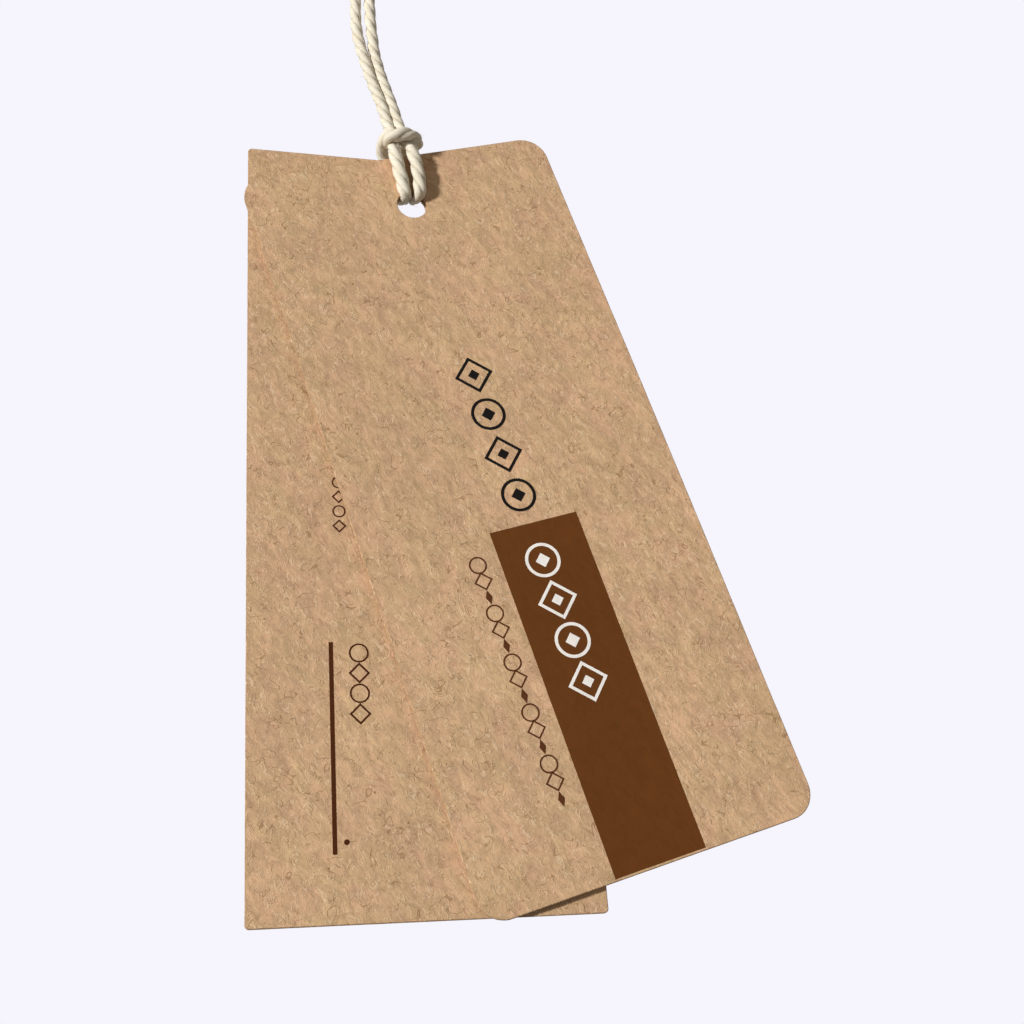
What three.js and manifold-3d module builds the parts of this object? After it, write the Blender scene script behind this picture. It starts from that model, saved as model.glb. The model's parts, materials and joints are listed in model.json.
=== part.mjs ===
// Hang tag: two kraft board cards on one waxed cotton cord, tied on with a lark's head hitch.
// Millimetres, +Z up, cards facing -Y. The origin is the middle of the knot that holds the tag up.
import * as THREE from "three";
import * as BufferGeometryUtils from "three/addons/utils/BufferGeometryUtils.js";
import Module from "manifold-3d";

// Driving dimensions

const BOARD_THICKNESS = 0.5;
const CARD_GAP = 0.3;
const HOLE_SEGMENTS = 48;
const CORNER_SEGMENTS = 10;

const FRONT_WIDTH = 43.2;
const FRONT_LENGTH = 99;
const FRONT_CORNER_RADIUS = 3.4;
const FRONT_HOLE_DROP = 7.8;

const REAR_WIDTH = 40;
const REAR_LENGTH = 100;
const REAR_CORNER_RADIUS = 0.9;
const REAR_HOLE_DROP = 7.5;
const REAR_HOLE_INSET = 21.6;

// The cards rest this far either side of plumb, and can be fanned as far as the limit.
const FAN_ANGLE = THREE.MathUtils.degToRad(7.86);
const FAN_LIMIT = THREE.MathUtils.degToRad(18);

const CORD_DIAMETER = 1.6;
const CORD_SIDES = 8;
const CORD_CLEARANCE = 0.3;
const CORD_END_GAP = 0.3;
const STRAND_GAP = 0.18;

// The punched hole passes the doubled cord with this much play each side, and where the cord
// is pulled up it stays this far off the hole's wall.
const HOLE_PLAY = 0.31;
const HOLE_WALL_CLEARANCE = 0.15;

// From the middle of the knot down to the middle of the hole, and sideways to it, so that the
// two cards' common centre of mass hangs straight below the knot.
const HANG_DROP = 58;
const HOLE_OFFSET = 0.6;

// The hitch: how far its bight stands out past two strands side by side, how much higher its
// right shoulder stands, how far the bar hangs below the bight's top in cord diameters, and how
// far the two strands run on together above it.
const BIGHT_PLAY = 0.05;
const SHOULDER_RISE = 0.75;
const BAR_DROP = 0.65;
const STUB_LENGTH = 3.2;

// The knot, in cord diameters: its reach below its middle, and how closely its strands lie.
const KNOT_REACH = 3.1;
const KNOT_PRESS = 0.85;

const LEG_STEPS = 72;
const STRAND_STEPS = 20;
const KNOT_STEPS = 96;
const KNOT_TURN_POINTS = 13;
const FOOT_SEGMENTS = 32;

const WELD_DISTANCE = 1e-5;

// Derived dimensions

const cordRadius = CORD_DIAMETER / 2;
const cardFace = CARD_GAP / 2 + BOARD_THICKNESS;
const legDepth = cardFace + CORD_CLEARANCE + cordRadius;

// Two strands side by side stand this far either side of their middle.
const pairSpread = cordRadius + STRAND_GAP / 2;

// Inside the hole they are pulled up as high as the round wall lets them.
const holeRadius = pairSpread + cordRadius + HOLE_PLAY;
const holeReach = holeRadius - HOLE_WALL_CLEARANCE - cordRadius;
const holeLift = Math.sqrt(holeReach ** 2 - pairSpread ** 2);

// The bight of the hitch stands clear of the cards' top edges at the fan limit.
const bightSpread = CORD_DIAMETER + cordRadius + BIGHT_PLAY;
const holeDrop = Math.max(FRONT_HOLE_DROP, REAR_HOLE_DROP);
const edgeReach = (bightSpread + cordRadius) * Math.sin(FAN_LIMIT);
const edgeTop = (holeDrop + edgeReach) / Math.cos(FAN_LIMIT);
const bightTop = edgeTop + CORD_CLEARANCE + cordRadius;
const barHeight = bightTop - BAR_DROP * CORD_DIAMETER;
const underBarDepth = legDepth - CORD_CLEARANCE;
const barDepth = underBarDepth + CORD_DIAMETER + STRAND_GAP;
const stubTop = bightTop + STUB_LENGTH;

// The knot's two strands end below it in a rounded foot, and the loop swings about its middle.
const knotSpread = KNOT_PRESS * cordRadius;
const knotReach = KNOT_REACH * CORD_DIAMETER;
const footRadius = knotSpread + cordRadius;
const swingDrop = knotReach - footRadius;
const strandTop = -knotReach - CORD_END_GAP;
const strandBottom = stubTop - HANG_DROP + CORD_END_GAP;

const holeCentre = new THREE.Vector3(HOLE_OFFSET, 0, -HANG_DROP);

const LEFT = -1;
const RIGHT = 1;

// Solids

const wasm = await Module();
wasm.setup();

function toSolid(geometry) {
  const bare = geometry.clone();
  bare.deleteAttribute("normal");
  bare.deleteAttribute("uv");
  const merged = BufferGeometryUtils.mergeVertices(bare, WELD_DISTANCE);
  const vertProperties = new Float32Array(merged.attributes.position.array);
  const triVerts = new Uint32Array(merged.index.array);
  return new wasm.Manifold(new wasm.Mesh({ numProp: 3, vertProperties, triVerts }));
}

function toGeometry(solid) {
  const mesh = solid.getMesh();
  const geometry = new THREE.BufferGeometry();
  geometry.setAttribute("position", new THREE.BufferAttribute(mesh.vertProperties, 3));
  geometry.setIndex(new THREE.BufferAttribute(mesh.triVerts, 1));
  geometry.computeVertexNormals();
  return geometry;
}

function joined(geometries) {
  const solids = geometries.map(toSolid);
  return toGeometry(solids.slice(1).reduce((whole, solid) => whole.add(solid), solids[0]));
}

// Cord: a round section swept along a smooth curve through the route's points

function cordSection() {
  const section = new THREE.Shape();
  for (let side = 0; side < CORD_SIDES; side += 1) {
    const angle = (2 * Math.PI * side) / CORD_SIDES;
    const x = cordRadius * Math.cos(angle);
    const y = cordRadius * Math.sin(angle);
    if (side === 0) {
      section.moveTo(x, y);
    } else {
      section.lineTo(x, y);
    }
  }
  section.closePath();
  return section;
}

function cordAlong(points, steps) {
  const route = new THREE.CatmullRomCurve3(points, false, "centripetal");
  return new THREE.ExtrudeGeometry(cordSection(), { steps, bevelEnabled: false, extrudePath: route });
}

// Cards: a rounded rectangle about the hole's centre, x to the right and y up

function cardOutline(left, bottom, width, length, radius) {
  const right = left + width;
  const top = bottom + length;
  const outline = new THREE.Shape();
  outline.moveTo(left + radius, bottom);
  outline.lineTo(right - radius, bottom);
  outline.absarc(right - radius, bottom + radius, radius, -Math.PI / 2, 0);
  outline.lineTo(right, top - radius);
  outline.absarc(right - radius, top - radius, radius, 0, Math.PI / 2);
  outline.lineTo(left + radius, top);
  outline.absarc(left + radius, top - radius, radius, Math.PI / 2, Math.PI);
  outline.lineTo(left, bottom + radius);
  outline.absarc(left + radius, bottom + radius, radius, Math.PI, 1.5 * Math.PI);
  outline.closePath();
  return outline;
}

function cardGeometry(left, bottom, width, length, radius) {
  const outline = cardOutline(left, bottom, width, length, radius);
  const edge = outline.extractPoints(CORNER_SEGMENTS).shape;
  const hole = new THREE.Path().absarc(0, 0, holeRadius, 0, 2 * Math.PI, true);
  const board = new THREE.Shape(edge);
  board.holes.push(new THREE.Path(hole.getPoints(HOLE_SEGMENTS)));
  const settings = { depth: BOARD_THICKNESS, steps: 1, bevelEnabled: false };
  return new THREE.ExtrudeGeometry(board, settings).rotateX(Math.PI / 2);
}

// Materials

function kraftBoard() {
  return new THREE.MeshStandardMaterial({ color: 0xc9a67f, roughness: 0.9, metalness: 0 });
}

function waxedCotton() {
  return new THREE.MeshStandardMaterial({ color: 0xece2c6, roughness: 0.7, metalness: 0 });
}

function piece(name, geometry, material) {
  const mesh = new THREE.Mesh(geometry, material);
  mesh.name = name;
  return mesh;
}

// Front card: its group turns about the hole, bottom edge to the right

function frontCard() {
  const left = -FRONT_WIDTH / 2;
  const bottom = FRONT_HOLE_DROP - FRONT_LENGTH;
  const board = cardGeometry(left, bottom, FRONT_WIDTH, FRONT_LENGTH, FRONT_CORNER_RADIUS);
  const mesh = piece("front_card", board, kraftBoard());
  mesh.position.y = -CARD_GAP / 2;
  const turned = new THREE.Group();
  turned.rotation.y = -FAN_ANGLE;
  turned.add(mesh);
  return turned;
}

// Rear card: punched off its middle, turned the other way about the same hole

function rearCard() {
  const left = -REAR_HOLE_INSET;
  const bottom = REAR_HOLE_DROP - REAR_LENGTH;
  const board = cardGeometry(left, bottom, REAR_WIDTH, REAR_LENGTH, REAR_CORNER_RADIUS);
  const mesh = piece("rear_card", board, kraftBoard());
  mesh.position.y = cardFace;
  const turned = new THREE.Group();
  turned.rotation.y = FAN_ANGLE;
  turned.add(mesh);
  return turned;
}

// Hitch: each leg comes down from its free strand, passes behind the bar of the bight, runs down
// the front card's face, through both holes, up the rear card's back and over the top edges, and
// ends in the middle of the bar, where it meets the other leg. Heights are from the hole's centre.

function alongFace(share) {
  return holeLift + share * (barHeight - holeLift);
}

function hitchLeg(side) {
  const shoulderTop = side === RIGHT ? bightTop + SHOULDER_RISE : bightTop;
  const stations = [
    { shift: -0.18, spread: pairSpread, depth: -0.3 * legDepth, height: stubTop },
    { shift: -0.17, spread: 0.8, depth: -0.52 * legDepth, height: stubTop - 0.5 * STUB_LENGTH },
    { shift: -0.16, spread: 0.72, depth: -0.74 * legDepth, height: bightTop - 0.1 },
    { shift: -0.15, spread: 0.8, depth: -underBarDepth, height: barHeight },
    { shift: -0.14, spread: 1.16, depth: -legDepth, height: alongFace(0.87) },
    { shift: -0.03, spread: 1.28, depth: -legDepth, height: alongFace(0.62) },
    { shift: 0.08, spread: 1.24, depth: -legDepth, height: alongFace(0.39) },
    { shift: 0.1, spread: 1.08, depth: -legDepth + 0.02, height: alongFace(0.23) },
    { shift: 0.02, spread: 0.94, depth: -0.83 * legDepth, height: alongFace(0.1) },
    { shift: 0, spread: pairSpread, depth: -cardFace - 0.12, height: holeLift + 0.08 },
    { shift: 0, spread: pairSpread, depth: 0, height: holeLift },
    { shift: 0, spread: pairSpread, depth: cardFace + 0.12, height: holeLift + 0.08 },
    { shift: 0, spread: 0.94, depth: 0.83 * legDepth, height: alongFace(0.1) },
    { shift: 0, spread: 1.1, depth: legDepth - 0.02, height: alongFace(0.24) },
    { shift: -0.05, spread: 1.5, depth: legDepth, height: alongFace(0.5) },
    { shift: -0.1, spread: 1.9, depth: legDepth, height: alongFace(0.76) },
    { shift: -0.12, spread: 2.15, depth: legDepth, height: shoulderTop - 1.6 },
    { shift: -0.12, spread: bightSpread - 0.05, depth: 0.8 * legDepth, height: shoulderTop - 0.35 },
    { shift: -0.12, spread: bightSpread, depth: 0.3 * legDepth, height: shoulderTop + 0.1 },
    { shift: -0.12, spread: bightSpread, depth: -0.35 * legDepth, height: shoulderTop + 0.1 },
    { shift: -0.12, spread: bightSpread, depth: -legDepth, height: shoulderTop - 0.25 },
    { shift: -0.12, spread: 1.9, depth: -barDepth + 0.5, height: (shoulderTop + barHeight) / 2 },
    { shift: -0.12, spread: 0.9, depth: -barDepth + 0.05, height: barHeight + 0.05 },
    { shift: -0.12, spread: -0.2, depth: -barDepth, height: barHeight },
  ];
  return stations.map(({ shift, spread, depth, height }) => {
    const x = shift + side * spread;
    return new THREE.Vector3(x, depth, height).add(holeCentre);
  });
}

function cordHitch() {
  const legs = [LEFT, RIGHT].map((side) => cordAlong(hitchLeg(side), LEG_STEPS));
  return piece("cord_hitch", joined(legs), waxedCotton());
}

// Free strands: each runs from its leg of the hitch up to the knot, with stations at equal rises.
// The first nine follow the photograph: where the pair's middle is, and how far the two strands
// open beyond lying side by side. Above them the loop opens a little and closes into the knot.

const STRAND_STATIONS = [
  { middle: 0.23, opening: 0, depth: -0.42 },
  { middle: -0.11, opening: 0, depth: -0.28 },
  { middle: -0.48, opening: 0, depth: -0.14 },
  { middle: -0.71, opening: 0, depth: -0.05 },
  { middle: -0.89, opening: 0.02, depth: 0 },
  { middle: -0.89, opening: 0.11, depth: 0 },
  { middle: -0.77, opening: 0.16, depth: 0 },
  { middle: -0.5, opening: 0.15, depth: 0 },
  { middle: -0.17, opening: 0.13, depth: 0 },
  { middle: 0.04, opening: 0.26, depth: 0 },
  { middle: 0.12, opening: 0.49, depth: 0 },
  { middle: 0.12, opening: 0.66, depth: 0 },
  { middle: 0.08, opening: 0.63, depth: 0 },
  { middle: 0.04, opening: 0.39, depth: 0 },
  { middle: 0.01, opening: 0.13, depth: 0 },
];

function strandRoute(side) {
  const foot = hitchLeg(side)[0].add(new THREE.Vector3(0, 0, CORD_END_GAP));
  const rise = (strandTop - strandBottom) / (STRAND_STATIONS.length + 1);
  const stations = STRAND_STATIONS.map(({ middle, opening, depth }, index) => {
    const x = middle + side * (pairSpread + opening);
    return new THREE.Vector3(x, depth, strandBottom + (index + 1) * rise);
  });
  return [foot, ...stations, new THREE.Vector3(side * pairSpread, 0, strandTop)];
}

function freeStrand(name, side) {
  return piece(name, cordAlong(strandRoute(side), STRAND_STEPS), waxedCotton());
}

// Knot: an overhand knot tied in both strands together, pressed into each other. The pair goes
// up the front of the core, over and once round it, and up the back of the core into two tails.
// The stations are in cord diameters, and each one's turn says how the pair lies, from side by
// side at 0 degrees to one above the other at 90.

const KNOT_WRAP_SHIFT = 0.25;
const KNOT_WRAP_WIDTH = 1.9;
const KNOT_WRAP_DEPTH = 1.72;
const KNOT_WRAP_RISE = 1.15;
const KNOT_WRAP_LEAD = THREE.MathUtils.degToRad(6);

function pairPoint(x, y, z, turn, side) {
  const angle = THREE.MathUtils.degToRad(turn);
  const across = new THREE.Vector3(Math.cos(angle), 0, -Math.sin(angle));
  const middle = new THREE.Vector3(x, y, z).multiplyScalar(CORD_DIAMETER);
  return middle.addScaledVector(across, knotSpread * side);
}

function knotEntry(side) {
  return [
    pairPoint(0, -0.02, -KNOT_REACH, 0, side),
    pairPoint(0, -0.28, -2.55, 0, side),
    pairPoint(0, -0.46, -1.85, 0, side),
    pairPoint(0, -0.48, -1.1, 0, side),
    pairPoint(0, -0.48, -0.35, 0, side),
    pairPoint(0, -0.48, 0.3, 0, side),
    pairPoint(0.1, -0.52, 0.92, 12, side),
    pairPoint(0.48, -0.64, 1.42, 40, side),
    pairPoint(1.08, -0.66, 1.62, 68, side),
    pairPoint(1.72, -0.46, 1.44, 84, side),
  ];
}

function knotTurn(side) {
  const sweep = 2 * Math.PI - 2 * KNOT_WRAP_LEAD;
  const points = [];
  for (let index = 0; index < KNOT_TURN_POINTS; index += 1) {
    const share = index / (KNOT_TURN_POINTS - 1);
    const angle = KNOT_WRAP_LEAD + sweep * share;
    const x = KNOT_WRAP_SHIFT + KNOT_WRAP_WIDTH * Math.cos(angle);
    const y = KNOT_WRAP_DEPTH * Math.sin(angle);
    points.push(pairPoint(x, y, KNOT_WRAP_RISE * (1 - 2 * share), 90, side));
  }
  return points;
}

// The way out is the way in turned over, with the two strands changed about.
function knotExit(side) {
  const turnedOver = knotEntry(-side).map(({ x, y, z }) => new THREE.Vector3(x, -y, -z));
  return turnedOver.reverse();
}

const TAIL_STATIONS = {
  [LEFT]: [
    [0.62, 0.1, 3.9],
    [0.86, 0.16, 4.7],
    [1.24, 0.34, 5.6],
    [1.76, 0.58, 6.7],
  ],
  [RIGHT]: [
    [-0.64, 0.0, 3.9],
    [-0.92, -0.06, 4.7],
    [-1.38, -0.16, 5.5],
    [-2.02, -0.22, 6.5],
  ],
};

function knotRoute(side) {
  const tail = TAIL_STATIONS[side].map((point) => new THREE.Vector3(...point));
  const tailPoints = tail.map((point) => point.multiplyScalar(CORD_DIAMETER));
  return [...knotEntry(side), ...knotTurn(side), ...knotExit(side), ...tailPoints];
}

// What is cut away to round the foot: a block below the swing's middle, less a ball about it
function footCutter() {
  const span = 4 * footRadius;
  const block = new THREE.BoxGeometry(span, span, span);
  block.translate(0, 0, -swingDrop - span / 2);
  const ball = new THREE.SphereGeometry(footRadius, FOOT_SEGMENTS, FOOT_SEGMENTS / 2);
  ball.rotateX(Math.PI / 2);
  ball.translate(0, 0, -swingDrop);
  return toSolid(block).subtract(toSolid(ball));
}

function cordKnot() {
  const [left, right] = [LEFT, RIGHT].map((side) => toSolid(cordAlong(knotRoute(side), KNOT_STEPS)));
  const rounded = left.add(right).subtract(footCutter());
  return piece("cord_knot", toGeometry(rounded), waxedCotton());
}

// Assembly

const cards = new THREE.Group();
cards.position.copy(holeCentre);
cards.add(frontCard(), rearCard());

const hangTag = new THREE.Group();
hangTag.add(cards);
hangTag.add(cordHitch());
hangTag.add(freeStrand("cord_strand_left", LEFT));
hangTag.add(freeStrand("cord_strand_right", RIGHT));
hangTag.add(cordKnot());

export default hangTag;
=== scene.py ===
"""Hang tag: two kraft board cards on one twisted cotton cord, hitched at the hole and knotted at the top.

Metres, +Z up, cards facing -Y. The origin is the middle of the knot that holds the tag up.
"""

import json
import logging
import math
from collections.abc import Sequence
from dataclasses import dataclass, field
from enum import Enum
from itertools import accumulate, pairwise

import bmesh
import bpy
import numpy as np
from mathutils import Matrix, Vector, noise
from mathutils.geometry import delaunay_2d_cdt


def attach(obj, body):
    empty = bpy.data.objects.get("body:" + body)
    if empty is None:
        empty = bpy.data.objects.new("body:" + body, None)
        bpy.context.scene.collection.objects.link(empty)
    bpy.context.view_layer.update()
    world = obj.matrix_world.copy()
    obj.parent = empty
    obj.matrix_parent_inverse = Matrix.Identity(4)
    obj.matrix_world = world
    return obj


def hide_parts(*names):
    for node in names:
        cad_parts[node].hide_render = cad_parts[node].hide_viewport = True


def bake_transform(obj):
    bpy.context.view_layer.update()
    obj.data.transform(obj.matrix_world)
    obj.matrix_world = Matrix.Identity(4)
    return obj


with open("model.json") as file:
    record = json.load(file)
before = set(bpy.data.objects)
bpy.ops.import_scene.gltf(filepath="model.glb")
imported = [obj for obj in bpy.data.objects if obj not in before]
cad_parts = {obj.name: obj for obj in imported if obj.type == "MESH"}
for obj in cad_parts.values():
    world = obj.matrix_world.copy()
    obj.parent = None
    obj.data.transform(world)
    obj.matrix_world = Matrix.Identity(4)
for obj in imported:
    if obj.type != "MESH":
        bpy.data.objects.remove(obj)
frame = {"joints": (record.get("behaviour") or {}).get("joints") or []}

LOG = logging.getLogger("hang_tag")
MM = 1e-3
CORD_MAP = "cord"
# Half the angle between the two cards at rest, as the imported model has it.
FAN = math.radians(7.86)
# The nearest that two points of a filled outline come, as a share of its grid.
LEAST_GAP = 0.3
# How near, in metres, two points of an outline count as one, and the share of a round hole's radius
# within which the middle of a triangle lies in the hole.
SAME_POINT = 1e-9
IN_RIM = 0.98
JOINTS = {joint["name"]: joint for joint in frame["joints"]}
HOLE = np.array(JOINTS["front_card_fan"]["pos_m"])

Colour = tuple[float, float, float]
Finish = bpy.types.Material
Socket = bpy.types.NodeSocket
Outputs = bpy.types.bpy_prop_collection
FLOAT = "NodeSocketFloat"
COLOUR = "NodeSocketColor"


def srgb(red: int, green: int, blue: int) -> Colour:
    """Turn a colour of 0 to 255 a channel into the linear colour that a shader takes."""
    shares = [value / 255 for value in (red, green, blue)]
    return tuple(share / 12.92 if share <= 0.04045 else ((share + 0.055) / 1.055) ** 2.4 for share in shares)


class Side(Enum):
    """Which of the cord's two strands, by the sign of its place across the tag."""

    LEFT = -1
    RIGHT = 1


class Twist(Enum):
    """The hand of a cord's lay, by the sign of its turn along the cord."""

    S_LAY = -1
    Z_LAY = 1


class Nodes:
    """Adds nodes to one node tree and links them."""

    def __init__(self, tree: bpy.types.NodeTree) -> None:
        """Keep the shader or geometry node tree."""
        self.tree = tree

    def fill(self, node: bpy.types.Node, inputs: dict) -> None:
        """Give a node's inputs their values or links.

        Args:
            node: The node.
            inputs: What each input takes, by its name or number, as a value or as another socket.
                A colour is given without its alpha.
        """
        for name, value in inputs.items():
            socket = node.inputs[name]
            if isinstance(value, bpy.types.NodeSocket):
                self.tree.links.new(value, socket)
            elif socket.type == "RGBA":
                socket.default_value = (*value, 1.0)
            else:
                socket.default_value = value

    def add(self, kind: str, inputs: dict | None = None, **settings: object) -> bpy.types.Node:
        """Add one node.

        Args:
            kind: The node's type name.
            inputs: What its inputs take, as fill has it.
            settings: Properties of the node, set before its inputs.

        Returns:
            The new node.
        """
        node = self.tree.nodes.new(kind)
        for name, value in settings.items():
            setattr(node, name, value)
        self.fill(node, inputs or {})
        return node

    def maths(self, operation: str, *values: object) -> Socket:
        """Add a Math node and return its result."""
        return self.add("ShaderNodeMath", dict(enumerate(values)), operation=operation).outputs[0]

    def times(self, first: object, second: object) -> Socket:
        """Multiply two values."""
        return self.maths("MULTIPLY", first, second)

    def plus(self, first: object, second: object) -> Socket:
        """Add two values."""
        return self.maths("ADD", first, second)

    def greater(self, first: object, second: object) -> Socket:
        """Take the greater of two values."""
        return self.maths("MAXIMUM", first, second)

    def joined(self, x: object = 0.0, y: object = 0.0, z: object = 0.0) -> Socket:
        """Make a vector of three values."""
        return self.add("ShaderNodeCombineXYZ", {0: x, 1: y, 2: z}).outputs[0]

    def scaled(self, vector: Socket, scale: float) -> Socket:
        """Scale a vector evenly."""
        inputs = {"Vector": vector, "Scale": scale}
        return self.add("ShaderNodeVectorMath", inputs, operation="SCALE").outputs["Vector"]

    def shifted(self, vector: Socket, by: object) -> Socket:
        """Add a vector, or a value in each direction, to a vector."""
        return self.add("ShaderNodeVectorMath", {0: vector, 1: by}, operation="ADD").outputs["Vector"]

    def place(self) -> Socket:
        """Give the point on the piece, in its own coordinates."""
        return self.add("ShaderNodeTexCoord").outputs["Object"]

    def noise(self, vector: Socket, scale: float, detail: float = 2.0, roughness: float = 0.5,
              distortion: float = 0.0) -> Socket:
        """Add a noise texture and return its value, from 0 to 1."""
        inputs = {"Vector": vector, "Scale": scale, "Detail": detail, "Roughness": roughness,
                  "Distortion": distortion}
        return self.add("ShaderNodeTexNoise", inputs).outputs["Fac"]

    def ramp(self, value: Socket, low: float, high: float, start: float = 0.0, end: float = 1.0) -> Socket:
        """Turn low to high smoothly into start to end."""
        inputs = {"Value": value, "From Min": low, "From Max": high, "To Min": start, "To Max": end}
        return self.add("ShaderNodeMapRange", inputs, interpolation_type="SMOOTHSTEP").outputs["Result"]

    def mix(self, share: object, first: object, second: object, blend: str = "MIX") -> Socket:
        """Mix two colours by a share."""
        inputs = {0: share, 6: first, 7: second}
        return self.add("ShaderNodeMix", inputs, data_type="RGBA", blend_type=blend).outputs[2]

    def bump(self, height: Socket, relief: float) -> Socket:
        """Turn a height of about 0 to 1, whose 1 stands out by the relief in metres, into a normal."""
        inputs = {"Height": height, "Distance": relief, "Strength": 1.0}
        return self.add("ShaderNodeBump", inputs).outputs["Normal"]

    def realized(self, instances: Socket, finish: Socket) -> Socket:
        """Turn instances into plain faces with a material."""
        real = self.add("GeometryNodeRealizeInstances", {"Geometry": instances}).outputs["Geometry"]
        return self.add("GeometryNodeSetMaterial", {"Geometry": real, "Material": finish}).outputs["Geometry"]

    def pale_rays(self) -> Socket:
        """Tell the rays that show the surround: straight, mirrored and through glass.

        Returns:
            A value that is 1 for those rays and 0 for others.
        """
        rays = self.add("ShaderNodeLightPath").outputs
        mirrored = self.greater(rays["Is Camera Ray"], rays["Is Glossy Ray"])
        return self.greater(mirrored, rays["Is Transmission Ray"])


@dataclass(frozen=True)
class Port:
    """One socket of a node group: its name, its type, its first value, and whether it is an input."""

    name: str
    kind: str
    value: object = None
    is_input: bool = True


def new_group(name: str, kind: str, ports: Sequence[Port]) -> tuple[Nodes, Outputs, bpy.types.Node]:
    """Start a node group with named sockets.

    Args:
        name: The group's name.
        kind: The group's tree type.
        ports: Its sockets.

    Returns:
        A maker for its nodes, what its input node gives, and its output node.
    """
    tree = bpy.data.node_groups.new(name, kind)
    for port in ports:
        in_out = "INPUT" if port.is_input else "OUTPUT"
        socket = tree.interface.new_socket(port.name, in_out=in_out, socket_type=port.kind)
        if port.value is not None:
            socket.default_value = port.value
    nodes = Nodes(tree)
    return nodes, nodes.add("NodeGroupInput").outputs, nodes.add("NodeGroupOutput")


@dataclass(frozen=True)
class FibreLayer:
    """One layer of short curved fibres: level lines of a noise, kept in patches.

    The scale sets how far apart they lie, the width how far from its middle value the noise still counts as
    fibre, and the cover the patch noise's value above which fibres are kept.
    """

    scale: float
    width: float
    cover: float
    shift: tuple[float, float, float] = (0.0, 0.0, 0.0)
    strength: float = 1.0
    curl: float = 1.2
    core: float = 0.2
    patch_scale: float = 1.3
    patch_edge: float = 0.05

    def mask(self, nodes: Nodes, place: Socket) -> Socket:
        """Draw the fibres.

        Args:
            nodes: The maker of the group's nodes.
            place: The point on the board in millimetres.

        Returns:
            A mask that is the layer's strength on the fibres.
        """
        place = nodes.shifted(place, self.shift)
        level = nodes.noise(place, self.scale, detail=1.0, distortion=self.curl)
        distance = nodes.maths("ABSOLUTE", nodes.maths("SUBTRACT", level, 0.5))
        line = nodes.ramp(distance, self.core * self.width, self.width, 1.0, 0.0)
        spread = nodes.noise(place, self.patch_scale * self.scale, detail=1.0)
        patch = nodes.ramp(spread, self.cover, self.cover + self.patch_edge)
        return nodes.times(nodes.times(line, patch), self.strength)


DARK_FIBRES = (
    FibreLayer(0.35, 0.013, 0.52),
    FibreLayer(0.54, 0.018, 0.56, (31.0, 17.0, 53.0)),
    FibreLayer(0.78, 0.027, 0.5, (71.0, 5.0, 23.0), strength=0.5),
)
PALE_FIBRES = FibreLayer(0.76, 0.04, 0.44, (11.0, 43.0, 7.0))


def kraft_group() -> bpy.types.NodeTree:
    """Build the look of kraft stock: mottled pulp, dark and pale fibres, flecks and a grain's height.

    Returns:
        The shader node group.
    """
    nodes, given, out = new_group("kraft_stock", "ShaderNodeTree", [
        Port("Warm", COLOUR), Port("Cool", COLOUR), Port("Fibre", COLOUR), Port("Pale", COLOUR),
        Port("Fibre Share", FLOAT, 0.6), Port("Seed", FLOAT, 0.0),
        Port("Color", COLOUR, is_input=False), Port("Height", FLOAT, is_input=False),
        Port("Roughness", FLOAT, is_input=False),
    ])
    pale_share, fleck_share = 0.5, 0.8
    mottle_height, pulp_height, grain_height, fibre_height = 1.1, 0.6, 0.16, 0.12
    place = nodes.shifted(nodes.scaled(nodes.place(), 1 / MM), given["Seed"])
    slant = {"Vector": place, "Rotation": (0.0, math.radians(-28), 0.0), "Scale": (0.72, 1.0, 1.3)}
    stretched = nodes.add("ShaderNodeMapping", slant, vector_type="TEXTURE").outputs[0]
    broad = nodes.noise(place, 0.07)
    mottle = nodes.noise(stretched, 0.2, detail=3.0, roughness=0.55, distortion=0.8)
    pulp = nodes.noise(stretched, 0.72, detail=5.0, roughness=0.66, distortion=0.7)
    grain = nodes.noise(place, 4.0, detail=4.0, roughness=0.7)

    colour = nodes.mix(nodes.ramp(mottle, 0.34, 0.66), given["Warm"], given["Cool"])
    shade = nodes.times(nodes.ramp(pulp, 0.25, 0.75, 0.78, 1.15), nodes.ramp(broad, 0.3, 0.7, 0.96, 1.04))
    shade = nodes.times(shade, nodes.ramp(grain, 0.25, 0.75, 0.95, 1.05))
    tone = nodes.add("ShaderNodeCombineColor", {0: shade, 1: shade, 2: shade}).outputs[0]
    colour = nodes.mix(1.0, colour, tone, "MULTIPLY")

    long_one, crossed, short = (layer.mask(nodes, place) for layer in DARK_FIBRES)
    dark = nodes.greater(nodes.greater(long_one, crossed), short)
    pale = PALE_FIBRES.mask(nodes, stretched)
    colour = nodes.mix(nodes.times(pale, pale_share), colour, given["Pale"])
    colour = nodes.mix(nodes.times(dark, given["Fibre Share"]), colour, given["Fibre"])

    cell = nodes.add("ShaderNodeTexVoronoi", {"Vector": place, "Scale": 0.33})
    chosen = nodes.add("ShaderNodeSeparateColor", {0: cell.outputs["Color"]}).outputs[0]
    spot = nodes.ramp(cell.outputs["Distance"], 0.03, 0.06, 1.0, 0.0)
    fleck = nodes.times(nodes.times(spot, nodes.ramp(chosen, 0.72, 0.75)), fleck_share)

    height = nodes.plus(nodes.times(mottle, mottle_height), nodes.times(pulp, pulp_height))
    height = nodes.plus(height, nodes.times(grain, grain_height))
    nodes.fill(out, {
        "Color": nodes.mix(fleck, colour, given["Fibre"]),
        "Height": nodes.plus(height, nodes.times(nodes.greater(dark, pale), fibre_height)),
        "Roughness": nodes.ramp(pulp, 0.2, 0.8, 0.82, 0.95),
    })
    return nodes.tree


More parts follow.
